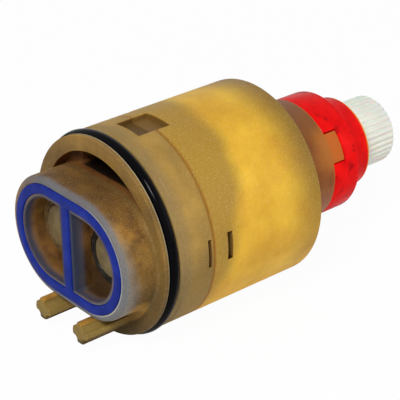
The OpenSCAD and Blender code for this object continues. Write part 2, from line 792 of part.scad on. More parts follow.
base();
upper_housing();
port_seal();
body_ring();
check_seat(-1);  // hot_check_seat
check_poppet(-1);  // hot_check_poppet
check_spring(-1);  // hot_check_spring
check_cage(-1);  // hot_check_cage
check_seat(1);  // cold_check_seat
check_poppet(1);  // cold_check_poppet
check_spring(1);  // cold_check_spring
check_cage(1);  // cold_check_cage
balance_sleeve();
balance_spool();
balance_plug();
sleeve_ring(-sleeve_ring_x);  // hot_sleeve_ring
sleeve_ring(0);  // middle_sleeve_ring
sleeve_ring(sleeve_ring_x);  // cold_sleeve_ring
disc_seal();
fixed_disc();
moving_disc();
disc_carrier();
stem();
stem_ring(stem_ring_low);  // lower_stem_ring
stem_ring(stem_ring_high);  // upper_stem_ring
thrust_washer();
limit_ring();
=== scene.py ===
# Single-handle tap cartridge: amber moulded housing, blue port seal, red limit ring, white stem.
# Metres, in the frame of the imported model: the stem points to -Y, the ports to +Y, the outlet up.
import math
import bmesh
import bpy
from mathutils import Matrix, Vector


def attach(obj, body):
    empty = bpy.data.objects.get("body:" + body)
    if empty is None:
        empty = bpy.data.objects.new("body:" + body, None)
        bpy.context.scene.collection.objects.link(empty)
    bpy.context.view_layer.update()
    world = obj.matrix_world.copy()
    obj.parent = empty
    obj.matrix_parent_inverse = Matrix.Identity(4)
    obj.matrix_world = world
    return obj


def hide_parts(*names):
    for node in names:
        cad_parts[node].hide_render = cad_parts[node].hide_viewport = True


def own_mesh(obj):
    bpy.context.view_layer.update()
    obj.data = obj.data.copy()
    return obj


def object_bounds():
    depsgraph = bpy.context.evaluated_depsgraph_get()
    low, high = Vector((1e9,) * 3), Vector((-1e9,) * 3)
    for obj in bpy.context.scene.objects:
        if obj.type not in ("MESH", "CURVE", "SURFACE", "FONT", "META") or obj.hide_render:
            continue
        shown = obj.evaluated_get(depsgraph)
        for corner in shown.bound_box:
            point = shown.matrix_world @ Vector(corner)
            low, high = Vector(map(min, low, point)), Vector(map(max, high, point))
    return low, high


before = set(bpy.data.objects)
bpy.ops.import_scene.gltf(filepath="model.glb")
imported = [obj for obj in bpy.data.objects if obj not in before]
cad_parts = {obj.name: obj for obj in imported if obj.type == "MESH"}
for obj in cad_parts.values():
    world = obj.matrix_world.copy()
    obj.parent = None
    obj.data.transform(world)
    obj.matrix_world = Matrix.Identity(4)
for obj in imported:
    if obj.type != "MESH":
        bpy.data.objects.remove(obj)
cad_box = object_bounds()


# Base
# The lower half of the housing: skirt, port boss, outlet crescent and two fluted pegs in one
# moulding of polysulfone, an amber engineering plastic that is clear where it is polished. The
# spark-eroded tool leaves it frosted, most of all on the lips that the seal sits in.
MM = 0.001
BOSS_HALF_MM = 5.2
BOSS_R_MM = 11.6
BOSS_FACE_MM = 6.93
PORT_LIP_R_MM = 7.7
CRESCENT_R_MM = 16.1
SKIN_R_MM = 18.9
SEAM_MM = -10.85
NOTCH_FOOT_MM = 15
SPECKS_PER_MM = 4.5
CAD_WELD_MM = 0.02
WELD_MM = 0.001
LEVEL_ANGLE = math.radians(0.3)
EDGE_ANGLE = math.radians(35)
SMOOTH_ANGLE = math.radians(32)


def linear(colour):
    """An sRGB hex colour as linear RGBA."""
    parts = [int(colour[i:i + 2], 16) / 255 for i in (1, 3, 5)]
    return tuple(c / 12.92 if c <= 0.04045 else ((c + 0.055) / 1.055) ** 2.4 for c in parts) + (1,)


def add(tree, kind, links=None, values=None, **settings):
    """Adds a node. links maps an input to one or more (node, output), values to a constant."""
    node = tree.nodes.new(kind)
    for name, value in settings.items():
        setattr(node, name, value)
    for name, value in (values or {}).items():
        node.inputs[name].default_value = value
    for name, sources in (links or {}).items():
        for source, output in sources if isinstance(sources, list) else [sources]:
            tree.links.new(source.outputs[output], node.inputs[name])
    return node


def material(name, **constants):
    """A new material: its tree, its shader with the constant sockets set, and a place in mm."""
    made = bpy.data.materials.new(name)
    made.use_nodes = True
    tree = made.node_tree
    shader = tree.nodes["Principled BSDF"]
    for socket, value in constants.items():
        shader.inputs[socket.replace("_", " ")].default_value = value
    coords = add(tree, "ShaderNodeTexCoord")
    place = add(tree, "ShaderNodeMapping", {"Vector": (coords, "Object")}, {"Scale": (1 / MM,) * 3})
    return made, tree, shader, place


def mottle(tree, place, low, high, patch_mm, spread=0.15):
    """A cloudy colour between two hex colours, in patches of a real size."""
    cloud = add(tree, "ShaderNodeTexNoise", {"Vector": (place, "Vector")},
                {"Scale": 1 / patch_mm, "Detail": 4.0, "Roughness": 0.6})
    colours = add(tree, "ShaderNodeValToRGB", {"Fac": (cloud, "Fac")})
    for end, position, colour in ((0, 0.5 - spread, low), (1, 0.5 + spread, high)):
        colours.color_ramp.elements[end].position = position
        colours.color_ramp.elements[end].color = linear(colour)
    return colours


def surface(tree, shader, place, grain_mm, depth_mm, rough):
    """A moulded grain in the relief, and gloss that varies with it. A real grain is too fine for
    the picture, so it is drawn just coarse enough to show."""
    grain = add(tree, "ShaderNodeTexNoise", {"Vector": (place, "Vector")},
                {"Scale": 1 / grain_mm, "Detail": 2.0})
    gloss = add(tree, "ShaderNodeMapRange", {"Value": (grain, "Fac")},
                {"From Min": 0.3, "From Max": 0.7, "To Min": rough[0], "To Max": rough[1]})
    bump = add(tree, "ShaderNodeBump", {"Height": (grain, "Fac")},
               {"Strength": 1.0, "Distance": depth_mm * MM})
    tree.links.new(gloss.outputs["Result"], shader.inputs["Roughness"])
    tree.links.new(bump.outputs["Normal"], shader.inputs["Normal"])


def tint(tree, under, over, *bands, most=1.0):
    """Lays one colour over another where all the bands hold. A band is a node, its output, where
    the colour sets in and where it is full; over is a node's output or a hex colour."""
    share = None
    for node, output, sets_in, full in bands:
        edge = add(tree, "ShaderNodeMapRange", {"Value": (node, output)},
                   {"From Min": sets_in, "From Max": full, "To Max": most if share is None else 1.0},
                   interpolation_type="SMOOTHSTEP")
        if share:
            edge = add(tree, "ShaderNodeMath", {0: (share, 0), 1: (edge, 0)}, operation="MULTIPLY")
        share = edge
    links, values = {"Factor": (share, 0), "A": under}, {}
    if isinstance(over, str):
        values["B"] = linear(over)
    else:
        links["B"] = over
    return add(tree, "ShaderNodeMix", links, values, data_type="RGBA"), 2


def rounded(piece, edge_mm, kept_full=False):
    """Rounds a piece's sharp edges, kept full where a short edge would narrow them all."""
    bevel = piece.modifiers.new("edge", "BEVEL")
    bevel.width = edge_mm * MM
    bevel.segments = 2
    bevel.use_clamp_overlap = not kept_full
    bevel.limit_method = "ANGLE"
    bevel.angle_limit = EDGE_ANGLE
    graph = bpy.context.evaluated_depsgraph_get()
    piece.data = bpy.data.meshes.new_from_object(piece.evaluated_get(graph))
    piece.modifiers.clear()
    shape = bmesh.new()
    shape.from_mesh(piece.data)
    bmesh.ops.remove_doubles(shape, verts=shape.verts, dist=WELD_MM * MM)
    bmesh.ops.dissolve_degenerate(shape, dist=WELD_MM * MM, edges=shape.edges)
    shape.to_mesh(piece.data)
    shape.free()


def finished(piece, body, slot, made, *nodes):
    """Smooth shading between soft edges, one material, and the piece's place in the frame."""
    mesh = piece.data
    if "custom_normal" in mesh.attributes:
        mesh.attributes.remove(mesh.attributes["custom_normal"])
    mesh.shade_smooth()
    mesh.set_sharp_from_angle(angle=SMOOTH_ANGLE)
    mesh.materials.clear()
    mesh.materials.append(made)
    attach(piece, body)
    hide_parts(*nodes)


def moulding(node, body, slot, made, edge_mm, kept_full=False):
    """A welded copy of a CAD node, with the small edge rounding of a real tool, in its place."""
    shape = bmesh.new()
    shape.from_mesh(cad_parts[node].data)
    bmesh.ops.remove_doubles(shape, verts=shape.verts, dist=CAD_WELD_MM * MM)
    bmesh.ops.dissolve_limit(shape, angle_limit=LEVEL_ANGLE, verts=shape.verts, edges=shape.edges)
    mesh = bpy.data.meshes.new(node + "_rounded")
    shape.to_mesh(mesh)
    shape.free()
    piece = bpy.data.objects.new(node + "_rounded", mesh)
    bpy.context.scene.collection.objects.link(piece)
    rounded(piece, edge_mm, kept_full)
    finished(piece, body, slot, made, node)


# Frosted and cloudy, so that the edges are soft and light soaks in
frosted_base, tree, shader, place = material(
    "polysulfone_spark_eroded", IOR=1.63, Specular_IOR_Level=0.08, Transmission_Weight=0.06,
    Subsurface_Weight=0.3, Subsurface_Scale=1.5 * MM, Subsurface_Radius=(1.0, 0.5, 0.12))
front = mottle(tree, place, "#7A5E36", "#B48A40", patch_mm=7, spread=0.2)
skirt = mottle(tree, place, "#9A7A3E", "#C49C4C", patch_mm=8, spread=0.2)
boss = mottle(tree, place, "#6C481E", "#C08C36", patch_mm=4.5, spread=0.17)
# Painted shade: the browns of the recess and of the ports' insides
recess_shade = mottle(tree, place, "#56321A", "#86582A", patch_mm=3, spread=0.2)
port = mottle(tree, place, "#4C3218", "#8A602C", patch_mm=4, spread=0.2)
axes = add(tree, "ShaderNodeSeparateXYZ", {"Vector": (place, "Vector")})
# Distance from the middle line of the racetrack, and from the cartridge's axis
past_x = add(tree, "ShaderNodeMath", {0: (axes, "X")}, operation="ABSOLUTE")
past_x = add(tree, "ShaderNodeMath", {0: (past_x, 0)}, {1: BOSS_HALF_MM}, operation="SUBTRACT")
past_x = add(tree, "ShaderNodeMath", {0: (past_x, 0)}, {1: 0.0}, operation="MAXIMUM")
track = add(tree, "ShaderNodeCombineXYZ", {"X": (past_x, 0), "Z": (axes, "Z")})
track = add(tree, "ShaderNodeVectorMath", {0: (track, 0)}, operation="LENGTH")
turned = add(tree, "ShaderNodeCombineXYZ", {"X": (axes, "X"), "Z": (axes, "Z")})
turned = add(tree, "ShaderNodeVectorMath", {0: (turned, 0)}, operation="LENGTH")
# Bands in mm: where a colour sets in, and where it is full
on_skin = (turned, "Value", SKIN_R_MM - 0.2, SKIN_R_MM)
below_skin = (turned, "Value", SKIN_R_MM, SKIN_R_MM - 0.2)
on_wall = (track, "Value", BOSS_R_MM + 1.4, BOSS_R_MM + 0.4)
on_boss = (track, "Value", BOSS_R_MM + 0.15, BOSS_R_MM + 0.05)
in_port = (track, "Value", PORT_LIP_R_MM + 0.6, PORT_LIP_R_MM)
round_ports = (track, "Value", PORT_LIP_R_MM, PORT_LIP_R_MM + 0.6)
in_crescent = (turned, "Value", CRESCENT_R_MM + 0.2, CRESCENT_R_MM)

# The skirt is painted duller underneath as painted shade, and is duller beside the groove; the flange's
# edge has a painted highlight
behind_flange = (axes, "Y", -1.6, -3.4)
on_skirt = (axes, "Y", -3, -3.4)
shade_underneath = (axes, "Z", 5, -3)
beside_groove = (axes, "Y", -7, -4.6)
flange_edge_highlight = (turned, "Value", 18.3, 18.6), (axes, "Y", -0.65, -0.85), (axes, "Y", -1.2, -1.0)
colour = tint(tree, (front, "Color"), (skirt, "Color"), behind_flange)
colour = tint(tree, colour, "#7E6634", on_skirt, shade_underneath, most=0.55)
colour = tint(tree, colour, "#7C6C50", on_skirt, beside_groove, most=0.5)
# Painted highlight along the flange's rounded outer edge
colour = tint(tree, colour, "#DCCDA6", *flange_edge_highlight, most=0.8)

# The boss is patchy, and painted browner on top: painted shade of the outlet's hollow, which lies right
# behind its wall
off_flange = (axes, "Y", 0.3, 1.5)
boss_top_shade = (axes, "Z", 7.0, 11.5)
pegs = (axes, "Z", -11.85, -12.0), (axes, "Y", 0.4, 1.0)
colour = tint(tree, colour, (boss, "Color"), on_wall, off_flange)
colour = tint(tree, colour, "#523718", on_wall, boss_top_shade, most=0.75)
colour = tint(tree, colour, "#86743A", *pegs, most=0.65)

# The flange's face is duller than the boss, and painted darker underneath as painted shade
flange_face = (turned, "Value", 15.9, 16.4), (axes, "Y", -1.6, -1.2)
shade_downwards = (axes, "Z", 34, -28)
colour = tint(tree, colour, "#4A3A1C", *flange_face, shade_downwards)

# Fine bright specks on the spark-eroded face, painted as glints on its grain
specks = add(tree, "ShaderNodeTexNoise", {"Vector": (place, "Vector")},
             {"Scale": SPECKS_PER_MM, "Detail": 1.0})
glint_specks = (specks, "Fac", 0.5, 0.7)
dark_specks = (specks, "Fac", 0.5, 0.36)
colour = tint(tree, colour, "#F2D8A0", glint_specks, most=0.12)

# Behind the flange the wall is painted brown, as painted shade in the recess, and painted black, as
# painted shade, where it opens into the outlet
behind_face = (axes, "Y", -0.1, -0.7)
outlet_shade = (axes, "Y", -1.2, -2.0), (axes, "X", 7.0, 5.5)
colour = tint(tree, colour, (recess_shade, "Color"), in_crescent, behind_face)
colour = tint(tree, colour, "#070403", in_crescent, *outlet_shade, most=0.97)

# The ports are painted brown inside and darkest at the bottom, as painted shade, and frosted on the
# wall between them
port_depth = (axes, "Y", 6.2, 4.4)
port_foot_shade = (axes, "Y", 6.4, 4.6), (axes, "Z", 2, -5), (axes, "X", 1, -3)
middle_wall = (axes, "X", -3.2, -2.4), (axes, "X", 1, 0), (axes, "Y", 4.0, 5.4)
colour = tint(tree, colour, (port, "Color"), in_port, port_depth)
colour = tint(tree, colour, "#241811", in_port, *port_foot_shade, most=0.75)
colour = tint(tree, colour, "#4A5060", in_port, *middle_wall, most=0.8)

# Frosted lips: a grainy grey bloom on the boss's edge, bluish at the rim and beside the seal. Its
# ragged edge comes further up the boss underneath than on top
ragged = add(tree, "ShaderNodeTexNoise", {"Vector": (place, "Vector")}, {"Scale": 0.4, "Detail": 3.0})
ragged = add(tree, "ShaderNodeMath", {0: (ragged, "Fac"), 2: (axes, "Y")}, {1: 2.0},
             operation="MULTIPLY_ADD")
ragged = add(tree, "ShaderNodeMath", {0: (axes, "Z"), 2: (ragged, 0)}, {1: -0.15},
             operation="MULTIPLY_ADD")
in_bloom = (ragged, 0, 4.3, 7.9)
at_rim = (axes, "Y", 5.9, 6.6)
inner_lip = (axes, "Y", 4.6, 6.4)
off_cold_end = (axes, "X", 20, 4)
colour = tint(tree, colour, "#908A80", in_bloom, on_boss, round_ports, off_cold_end, most=0.9)
colour = tint(tree, colour, "#6E747E", at_rim, on_boss, round_ports, off_cold_end, most=0.65)
colour = tint(tree, colour, "#5A544C", dark_specks, in_bloom, on_boss, round_ports, most=0.45)
colour = tint(tree, colour, "#363D52", in_port, inner_lip, most=0.92)

# The edge of the groove catches the light beside the seal
groove_edge = (track, "Value", 10.6, 10.45), (track, "Value", 10.1, 10.2), (axes, "Y", 6.7, 6.85)
hot_end = (axes, "X", -4, -9)
colour = tint(tree, colour, "#C6C2B8", *groove_edge, hot_end, most=0.75)

# Key notch and latch slots, seen edge-on, are painted dark: painted shade inside them
notch_shade = (axes, "Z", NOTCH_FOOT_MM, NOTCH_FOOT_MM + 0.5)
beside_notch = (axes, "Z", NOTCH_FOOT_MM + 0.5, NOTCH_FOOT_MM)
notch_length = (axes, "Y", -6.8, -6.95)
slot_shade = (axes, "Y", -9.3, -9.5), (axes, "Y", -10.5, -10.3), below_skin, beside_notch
slot_foot_shade = (axes, "Z", -1.9, -2.3)
colour = tint(tree, colour, "#64491F", below_skin, notch_shade, notch_length)
colour = tint(tree, colour, "#6E4E26", *slot_shade)
colour = tint(tree, colour, "#2A1A0A", *slot_shade, slot_foot_shade)

# The seam's edge gathers light and shows as an orange line
at_seam = (axes, "Y", SEAM_MM + 0.5, SEAM_MM + 0.15)
colour = tint(tree, colour, "#9C681F", on_skin, at_seam, most=0.8)
tree.links.new(colour[0].outputs[colour[1]], shader.inputs["Base Color"])
surface(tree, shader, place, grain_mm=0.3, depth_mm=0.014, rough=(0.45, 0.65))
moulding("base", "housing", "amber_base", frosted_base, edge_mm=0.06, kept_full=True)


# Upper housing
# The barrel, shoulder and collar, moulded from the same polysulfone with a finer, glossier
# face. Its golden colour is painted a deeper brown on the collar, as painted shade with painted red
# light from the ring, and the lugs glow with the red behind.
SHOULDER_MM = -36.6
LUG_MM = -46.7
SPIGOT_MM = -20.8
LUG_COUNT = 3
LUG_TURN = math.radians(150)

# Clearer and glossier than the base, so that it looks golden
golden, tree, shader, place = material(
    "polysulfone_moulded_golden", IOR=1.63, Specular_IOR_Level=0.08, Transmission_Weight=0.06,
    Subsurface_Weight=0.3, Subsurface_Scale=1.5 * MM, Subsurface_Radius=(1.0, 0.5, 0.1))
clouds = mottle(tree, place, "#E0A82E", "#F6C63C", patch_mm=9)
collar = mottle(tree, place, "#8E4C1A", "#A8662A", patch_mm=4)
axes = add(tree, "ShaderNodeSeparateXYZ", {"Vector": (place, "Vector")})
turned = add(tree, "ShaderNodeCombineXYZ", {"X": (axes, "X"), "Z": (axes, "Z")})
turned = add(tree, "ShaderNodeVectorMath", {0: (turned, 0)}, operation="LENGTH")
on_skin = (turned, "Value", SKIN_R_MM - 0.2, SKIN_R_MM)
below_skin = (turned, "Value", SKIN_R_MM, SKIN_R_MM - 0.2)

# The base's spigot shows through as a browner band of painted shade, whose soft edge leans with the
# height
ragged = add(tree, "ShaderNodeTexNoise", {"Vector": (place, "Vector")}, {"Scale": 0.12, "Detail": 2.0})
ragged = add(tree, "ShaderNodeMath", {0: (ragged, "Fac"), 2: (axes, "Y")}, {1: 5.0},
             operation="MULTIPLY_ADD")
ragged = add(tree, "ShaderNodeMath", {0: (axes, "Z"), 2: (ragged, 0)}, {1: 0.3},
             operation="MULTIPLY_ADD")
spigot_shade = (ragged, 0, SPIGOT_MM + 5.5, SPIGOT_MM + 10), (axes, "Z", -36, 2)
colour = tint(tree, (clouds, "Color"), "#A98435", *spigot_shade, most=0.9)

# Painted shade darkens the barrel towards the shoulder, most on top
shoulder_shade = (axes, "Y", SHOULDER_MM + 9, SHOULDER_MM), (axes, "Z", -22, 14)
colour = tint(tree, colour, "#86662C", *shoulder_shade, most=0.9)

# The seam's edge gathers light, and the eroded face has fine bright specks, painted as glints on its
# grain
at_seam = (axes, "Y", SEAM_MM - 0.6, SEAM_MM - 0.2)
specks = add(tree, "ShaderNodeTexNoise", {"Vector": (place, "Vector")},
             {"Scale": SPECKS_PER_MM, "Detail": 1.0})
glint_specks = (specks, "Fac", 0.5, 0.7)
colour = tint(tree, colour, "#A06C20", on_skin, at_seam, most=0.8)
colour = tint(tree, colour, "#FCE8A8", glint_specks, most=0.16)

# Key notch and latch windows, seen edge-on, are painted dark: painted shade inside them
notch_shade = (axes, "Z", NOTCH_FOOT_MM, NOTCH_FOOT_MM + 0.5)
beside_notch = (axes, "Z", NOTCH_FOOT_MM + 0.5, NOTCH_FOOT_MM)
window_shade = (axes, "Y", -13.8, -13.95), (axes, "Y", -15.4, -15.25), below_skin, beside_notch
window_foot_shade = (axes, "Z", -1.6, -2.2)
colour = tint(tree, colour, "#7A5A2A", below_skin, notch_shade)
colour = tint(tree, colour, "#7E6030", *window_shade)
colour = tint(tree, colour, "#3A2612", *window_shade, window_foot_shade)

# The collar is painted brown, as painted shade with painted red light from the ring; it is painted
# darker on top, as painted shade, and pinkish below, as painted light where the table lights it
on_collar = (axes, "Y", SHOULDER_MM, SHOULDER_MM - 1.5)
collar_top_shade = (axes, "Z", 3, 11)
collar_lit_below = (axes, "Z", 0, -9)
colour = tint(tree, colour, (collar, "Color"), on_collar)
colour = tint(tree, colour, "#7C4E26", on_collar, collar_top_shade, most=0.6)
colour = tint(tree, colour, "#B48270", on_collar, collar_lit_below, most=0.55)

# The red behind the lugs shines through them, and into the collar beside them
angle = add(tree, "ShaderNodeMath", {0: (axes, "Z"), 1: (axes, "X")}, operation="ARCTAN2")
per_lug = add(tree, "ShaderNodeMath", {0: (angle, 0)}, {1: LUG_COUNT, 2: -LUG_COUNT * LUG_TURN},
              operation="MULTIPLY_ADD")
beside_lug = add(tree, "ShaderNodeMath", {0: (per_lug, 0)}, operation="COSINE")
under_lug = (beside_lug, 0, 0.1, 0.95), (axes, "Y", LUG_MM + 4.5, LUG_MM + 0.5)
on_lug = (axes, "Y", LUG_MM + 0.8, LUG_MM - 0.8)
colour = tint(tree, colour, "#C87A30", *under_lug, most=0.8)
colour = tint(tree, colour, "#D46E24", on_lug)
tree.links.new(colour[0].outputs[colour[1]], shader.inputs["Base Color"])
surface(tree, shader, place, grain_mm=0.25, depth_mm=0.01, rough=(0.36, 0.5))
moulding("upper_housing", "housing", "amber_housing", golden, edge_mm=0.12, kept_full=True)


# Rubber rings
# Moulded nitrile cord rings: one in the groove behind the flange, three small ones round the
# balance sleeve and two on the stem. The disc seal and the check seats are of the same rubber.
QUARTER = math.pi / 2
GROOVE_MM = -2.15
BALANCE_MM = -15.4
SLEEVE_RING_X_MM = 11.9
LOW_STEM_RING_MM = -38.0
HIGH_STEM_RING_MM = -42.0
CORD_STEPS = 20


def coat(name, low, high, patch_mm, grain_mm, depth_mm, rough, **constants):
    """A material of one mottled colour with a moulded grain."""
    made, tree, shader, place = material(name, **constants)
    colours = mottle(tree, place, low, high, patch_mm)
    tree.links.new(colours.outputs["Color"], shader.inputs["Base Color"])
    surface(tree, shader, place, grain_mm, depth_mm, rough)
    return made


def node_tree(name, **sockets):
    """A Geometry Nodes tree with named inputs; returns it and its input node."""
    tree = bpy.data.node_groups.new(name, "GeometryNodeTree")
    for label, kind in sockets.items():
        tree.interface.new_socket(label.replace("_", " "), in_out="INPUT",
                                  socket_type="NodeSocket" + kind)
    tree.interface.new_socket("Geometry", in_out="OUTPUT", socket_type="NodeSocketGeometry")
    return tree, add(tree, "NodeGroupInput")


def close(tree, source, sizes):
    """Puts the shape in its place and ends its tree in plain geometry of one material."""
    placed = add(tree, "GeometryNodeTransform",
                 {"Geometry": source, "Translation": (sizes, "Centre"), "Rotation": (sizes, "Turn")})
    plain = add(tree, "GeometryNodeRealizeInstances", {"Geometry": (placed, 0)})
    coated = add(tree, "GeometryNodeSetMaterial",
                 {"Geometry": (plain, 0), "Material": (sizes, "Material")})
    add(tree, "NodeGroupOutput", {"Geometry": (coated, 0)})


def grown(name, tree, made, **values):
    """The plain mesh that a tree makes at the given sizes."""
    piece = bpy.data.objects.new(name, bpy.data.meshes.new(name))
    bpy.context.scene.collection.objects.link(piece)
    modifier = piece.modifiers.new("grow", "NODES")
    modifier.node_group = tree
    values["Material"] = made
    for item in tree.interface.items_tree:
        if item.in_out == "INPUT":
            modifier[item.identifier] = values[item.name.replace(" ", "_")]
    graph = bpy.context.evaluated_depsgraph_get()
    piece.data = bpy.data.meshes.new_from_object(piece.evaluated_get(graph))
    piece.modifiers.clear()
    return piece


# Black, smooth and faintly oily: a sharp, narrow glint
nitrile = coat("nitrile_moulded_oily", "#010103", "#030307", patch_mm=3, grain_mm=0.4,
               depth_mm=0.002, rough=(0.07, 0.14), IOR=1.52, Specular_IOR_Level=0.05)

cord_tree, sizes = node_tree("cord_ring", Ring_Radius="Float", Cord_Radius="Float", Steps="Int",
                             Centre="Vector", Turn="Vector", Material="Material")
path = add(cord_tree, "GeometryNodeCurvePrimitiveCircle",
           {"Radius": (sizes, "Ring Radius"), "Resolution": (sizes, "Steps")})
cord = add(cord_tree, "GeometryNodeCurvePrimitiveCircle", {"Radius": (sizes, "Cord Radius")},
           {"Resolution": CORD_STEPS})
swept = add(cord_tree, "GeometryNodeCurveToMesh",
            {"Curve": (path, "Curve"), "Profile Curve": (cord, "Curve")})
close(cord_tree, (swept, 0), sizes)

round_stem = (QUARTER, 0, 0)
round_sleeve = (0, QUARTER, 0)
for node, body, ring_mm, cord_mm, steps, centre_mm, turn in (
        ("body_ring", "housing", 18.3, 2.0, 160, (0, GROOVE_MM, 0), round_stem),
        ("hot_sleeve_ring", "housing", 3.88, 0.7, 64, (-SLEEVE_RING_X_MM, BALANCE_MM, 0), round_sleeve),
        ("middle_sleeve_ring", "housing", 3.88, 0.7, 64, (0, BALANCE_MM, 0), round_sleeve),
        ("cold_sleeve_ring", "housing", 3.88, 0.7, 64, (SLEEVE_RING_X_MM, BALANCE_MM, 0), round_sleeve),
        ("lower_stem_ring", "stem_set", 6.6, 1.6, 96, (0, LOW_STEM_RING_MM, 0), round_stem),
        ("upper_stem_ring", "stem_set", 6.6, 1.6, 96, (0, HIGH_STEM_RING_MM, 0), round_stem)):
    ring = grown(node + "_cord", cord_tree, nitrile, Ring_Radius=ring_mm * MM,
                 Cord_Radius=cord_mm / 2 * MM, Steps=steps,
                 Centre=tuple(c * MM for c in centre_mm), Turn=turn)
    finished(ring, body, "black_rubber", nitrile, node)
moulding("disc_seal", "housing", "black_rubber", nitrile, edge_mm=0.05)

# The check seats stand in the water: the hot one is still glossy in places, and the cold one
# is a lighter, duller brown
for node, name, low, high, rough in (
        ("hot_check_seat", "nitrile_limed", "#080706", "#2E2820", (0.12, 0.4)),
        ("cold_check_seat", "nitrile_lime_crusted", "#46341C", "#765A34", (0.5, 0.7))):
    seat_rubber = coat(name, low, high, patch_mm=1.2, grain_mm=0.2, depth_mm=0.01, rough=rough,
                 IOR=1.52, Specular_IOR_Level=0.15)
    moulding(node, "housing", "black_rubber", seat_rubber, edge_mm=0.05)


# Port seal
# Theta-shaped face seal moulded from blue silicone rubber, pressed into the groove of the boss
# so that its rounded crown stands a little proud.
SEAL_OUT_MM = 10.2
SEAL_W_MM = 1.85
BAR_W_MM = 2.1
SEAL_PROUD_MM = 0.35
SEAL_DEPTH_MM = 1.5
SEAL_CROWN_MM = 0.3
SEAL_CORNER_MM = 0.3
SEAL_WELD_MM = 0.002
# A fillet just short of the full radius leaves no doubled point
NEARLY = 0.999

# Dull and even, with hardly a highlight
silicone = coat("silicone_moulded_blue", "#16267A", "#203290", patch_mm=4, grain_mm=0.3,
                depth_mm=0.006, rough=(0.4, 0.55), IOR=1.41, Subsurface_Weight=0.1,
                Subsurface_Scale=0.5 * MM, Specular_IOR_Level=0.1)

seal_tree, sizes = node_tree("face_seal", Straight="Float", Outer_Radius="Float", Inner_Radius="Float",
                             Half_Bar="Float", Corner="Float", Height="Float", Centre="Vector",
                             Turn="Vector", Material="Material")
# The outline, a racetrack
twice = add(seal_tree, "ShaderNodeMath", {0: (sizes, "Outer Radius")}, {1: 2.0}, operation="MULTIPLY")
overall = add(seal_tree, "ShaderNodeMath", {0: (twice, 0), 1: (sizes, "Straight")}, operation="ADD")
oblong = add(seal_tree, "GeometryNodeCurvePrimitiveQuadrilateral",
             {"Width": (overall, 0), "Height": (twice, 0)})
short_of = add(seal_tree, "ShaderNodeMath", {0: (sizes, "Outer Radius")}, {1: NEARLY},
               operation="MULTIPLY")
outline = add(seal_tree, "GeometryNodeFilletCurve", {"Curve": (oblong, 0), "Radius": (short_of, 0)},
              {"Count": 32}, mode="POLY")
# One D-shaped opening: its outer corners take the full radius, those beside the bar a small one
half = add(seal_tree, "ShaderNodeMath", {0: (sizes, "Straight")}, {1: 0.5}, operation="MULTIPLY")
reach = add(seal_tree, "ShaderNodeMath", {0: (half, 0), 1: (sizes, "Inner Radius")}, operation="ADD")
wide = add(seal_tree, "ShaderNodeMath", {0: (reach, 0), 1: (sizes, "Half Bar")}, operation="SUBTRACT")
tall = add(seal_tree, "ShaderNodeMath", {0: (sizes, "Inner Radius")}, {1: 2.0}, operation="MULTIPLY")
block = add(seal_tree, "GeometryNodeCurvePrimitiveQuadrilateral",
            {"Width": (wide, 0), "Height": (tall, 0)})
point = add(seal_tree, "GeometryNodeInputPosition")
where = add(seal_tree, "ShaderNodeSeparateXYZ", {"Vector": (point, 0)})
outer = add(seal_tree, "ShaderNodeMath", {0: (where, "X")}, {1: 0.0}, operation="GREATER_THAN")
nearly = add(seal_tree, "ShaderNodeMath", {0: (sizes, "Inner Radius")}, {1: NEARLY},
             operation="MULTIPLY")
rounding = add(seal_tree, "ShaderNodeMix",
               {"Factor": (outer, 0), "A": (sizes, "Corner"), "B": (nearly, 0)})
opening = add(seal_tree, "GeometryNodeFilletCurve", {"Curve": (block, 0), "Radius": (rounding, 0)},
              {"Count": 24}, mode="POLY")
# Its middle lies halfway between the bar and the racetrack's inner end
both_ends = add(seal_tree, "ShaderNodeMath", {0: (reach, 0), 1: (sizes, "Half Bar")}, operation="ADD")
middle = add(seal_tree, "ShaderNodeMath", {0: (both_ends, 0)}, {1: 0.5}, operation="MULTIPLY")
aside = add(seal_tree, "ShaderNodeCombineXYZ", {"X": (middle, 0)})
cold_opening = add(seal_tree, "GeometryNodeTransform",
                   {"Geometry": (opening, 0), "Translation": (aside, 0)})
hot_opening = add(seal_tree, "GeometryNodeTransform", {"Geometry": (cold_opening, 0)},
                  {"Rotation": (0, 0, math.pi)})
outlines = add(seal_tree, "GeometryNodeJoinGeometry",
               {"Geometry": [(outline, 0), (cold_opening, 0), (hot_opening, 0)]})
# The sheet between the outlines, raised to the seal's height
sheet = add(seal_tree, "GeometryNodeFillCurve", {"Curve": (outlines, 0)}, mode="NGONS")
upwards = add(seal_tree, "ShaderNodeCombineXYZ", {"Z": (sizes, "Height")})
raised = add(seal_tree, "GeometryNodeExtrudeMesh", {"Mesh": (sheet, 0), "Offset": (upwards, 0)},
             {"Individual": False})
under = add(seal_tree, "GeometryNodeFlipFaces", {"Mesh": (sheet, 0)})
shell = add(seal_tree, "GeometryNodeJoinGeometry", {"Geometry": [(raised, 0), (under, 0)]})
welded = add(seal_tree, "GeometryNodeMergeByDistance", {"Geometry": (shell, 0)},
             {"Distance": SEAL_WELD_MM * MM})
close(seal_tree, (welded, 0), sizes)

seal = grown("port_seal_crowned", seal_tree, silicone, Straight=2 * BOSS_HALF_MM * MM,
             Outer_Radius=SEAL_OUT_MM * MM, Inner_Radius=(SEAL_OUT_MM - SEAL_W_MM) * MM,
             Half_Bar=BAR_W_MM / 2 * MM, Corner=SEAL_CORNER_MM * MM,
             Height=(SEAL_PROUD_MM + SEAL_DEPTH_MM) * MM,
             Centre=(0, (BOSS_FACE_MM + SEAL_PROUD_MM) * MM, 0), Turn=(QUARTER, 0, 0))
rounded(seal, SEAL_CROWN_MM, kept_full=True)
finished(seal, "housing", "blue_rubber", silicone, "port_seal")


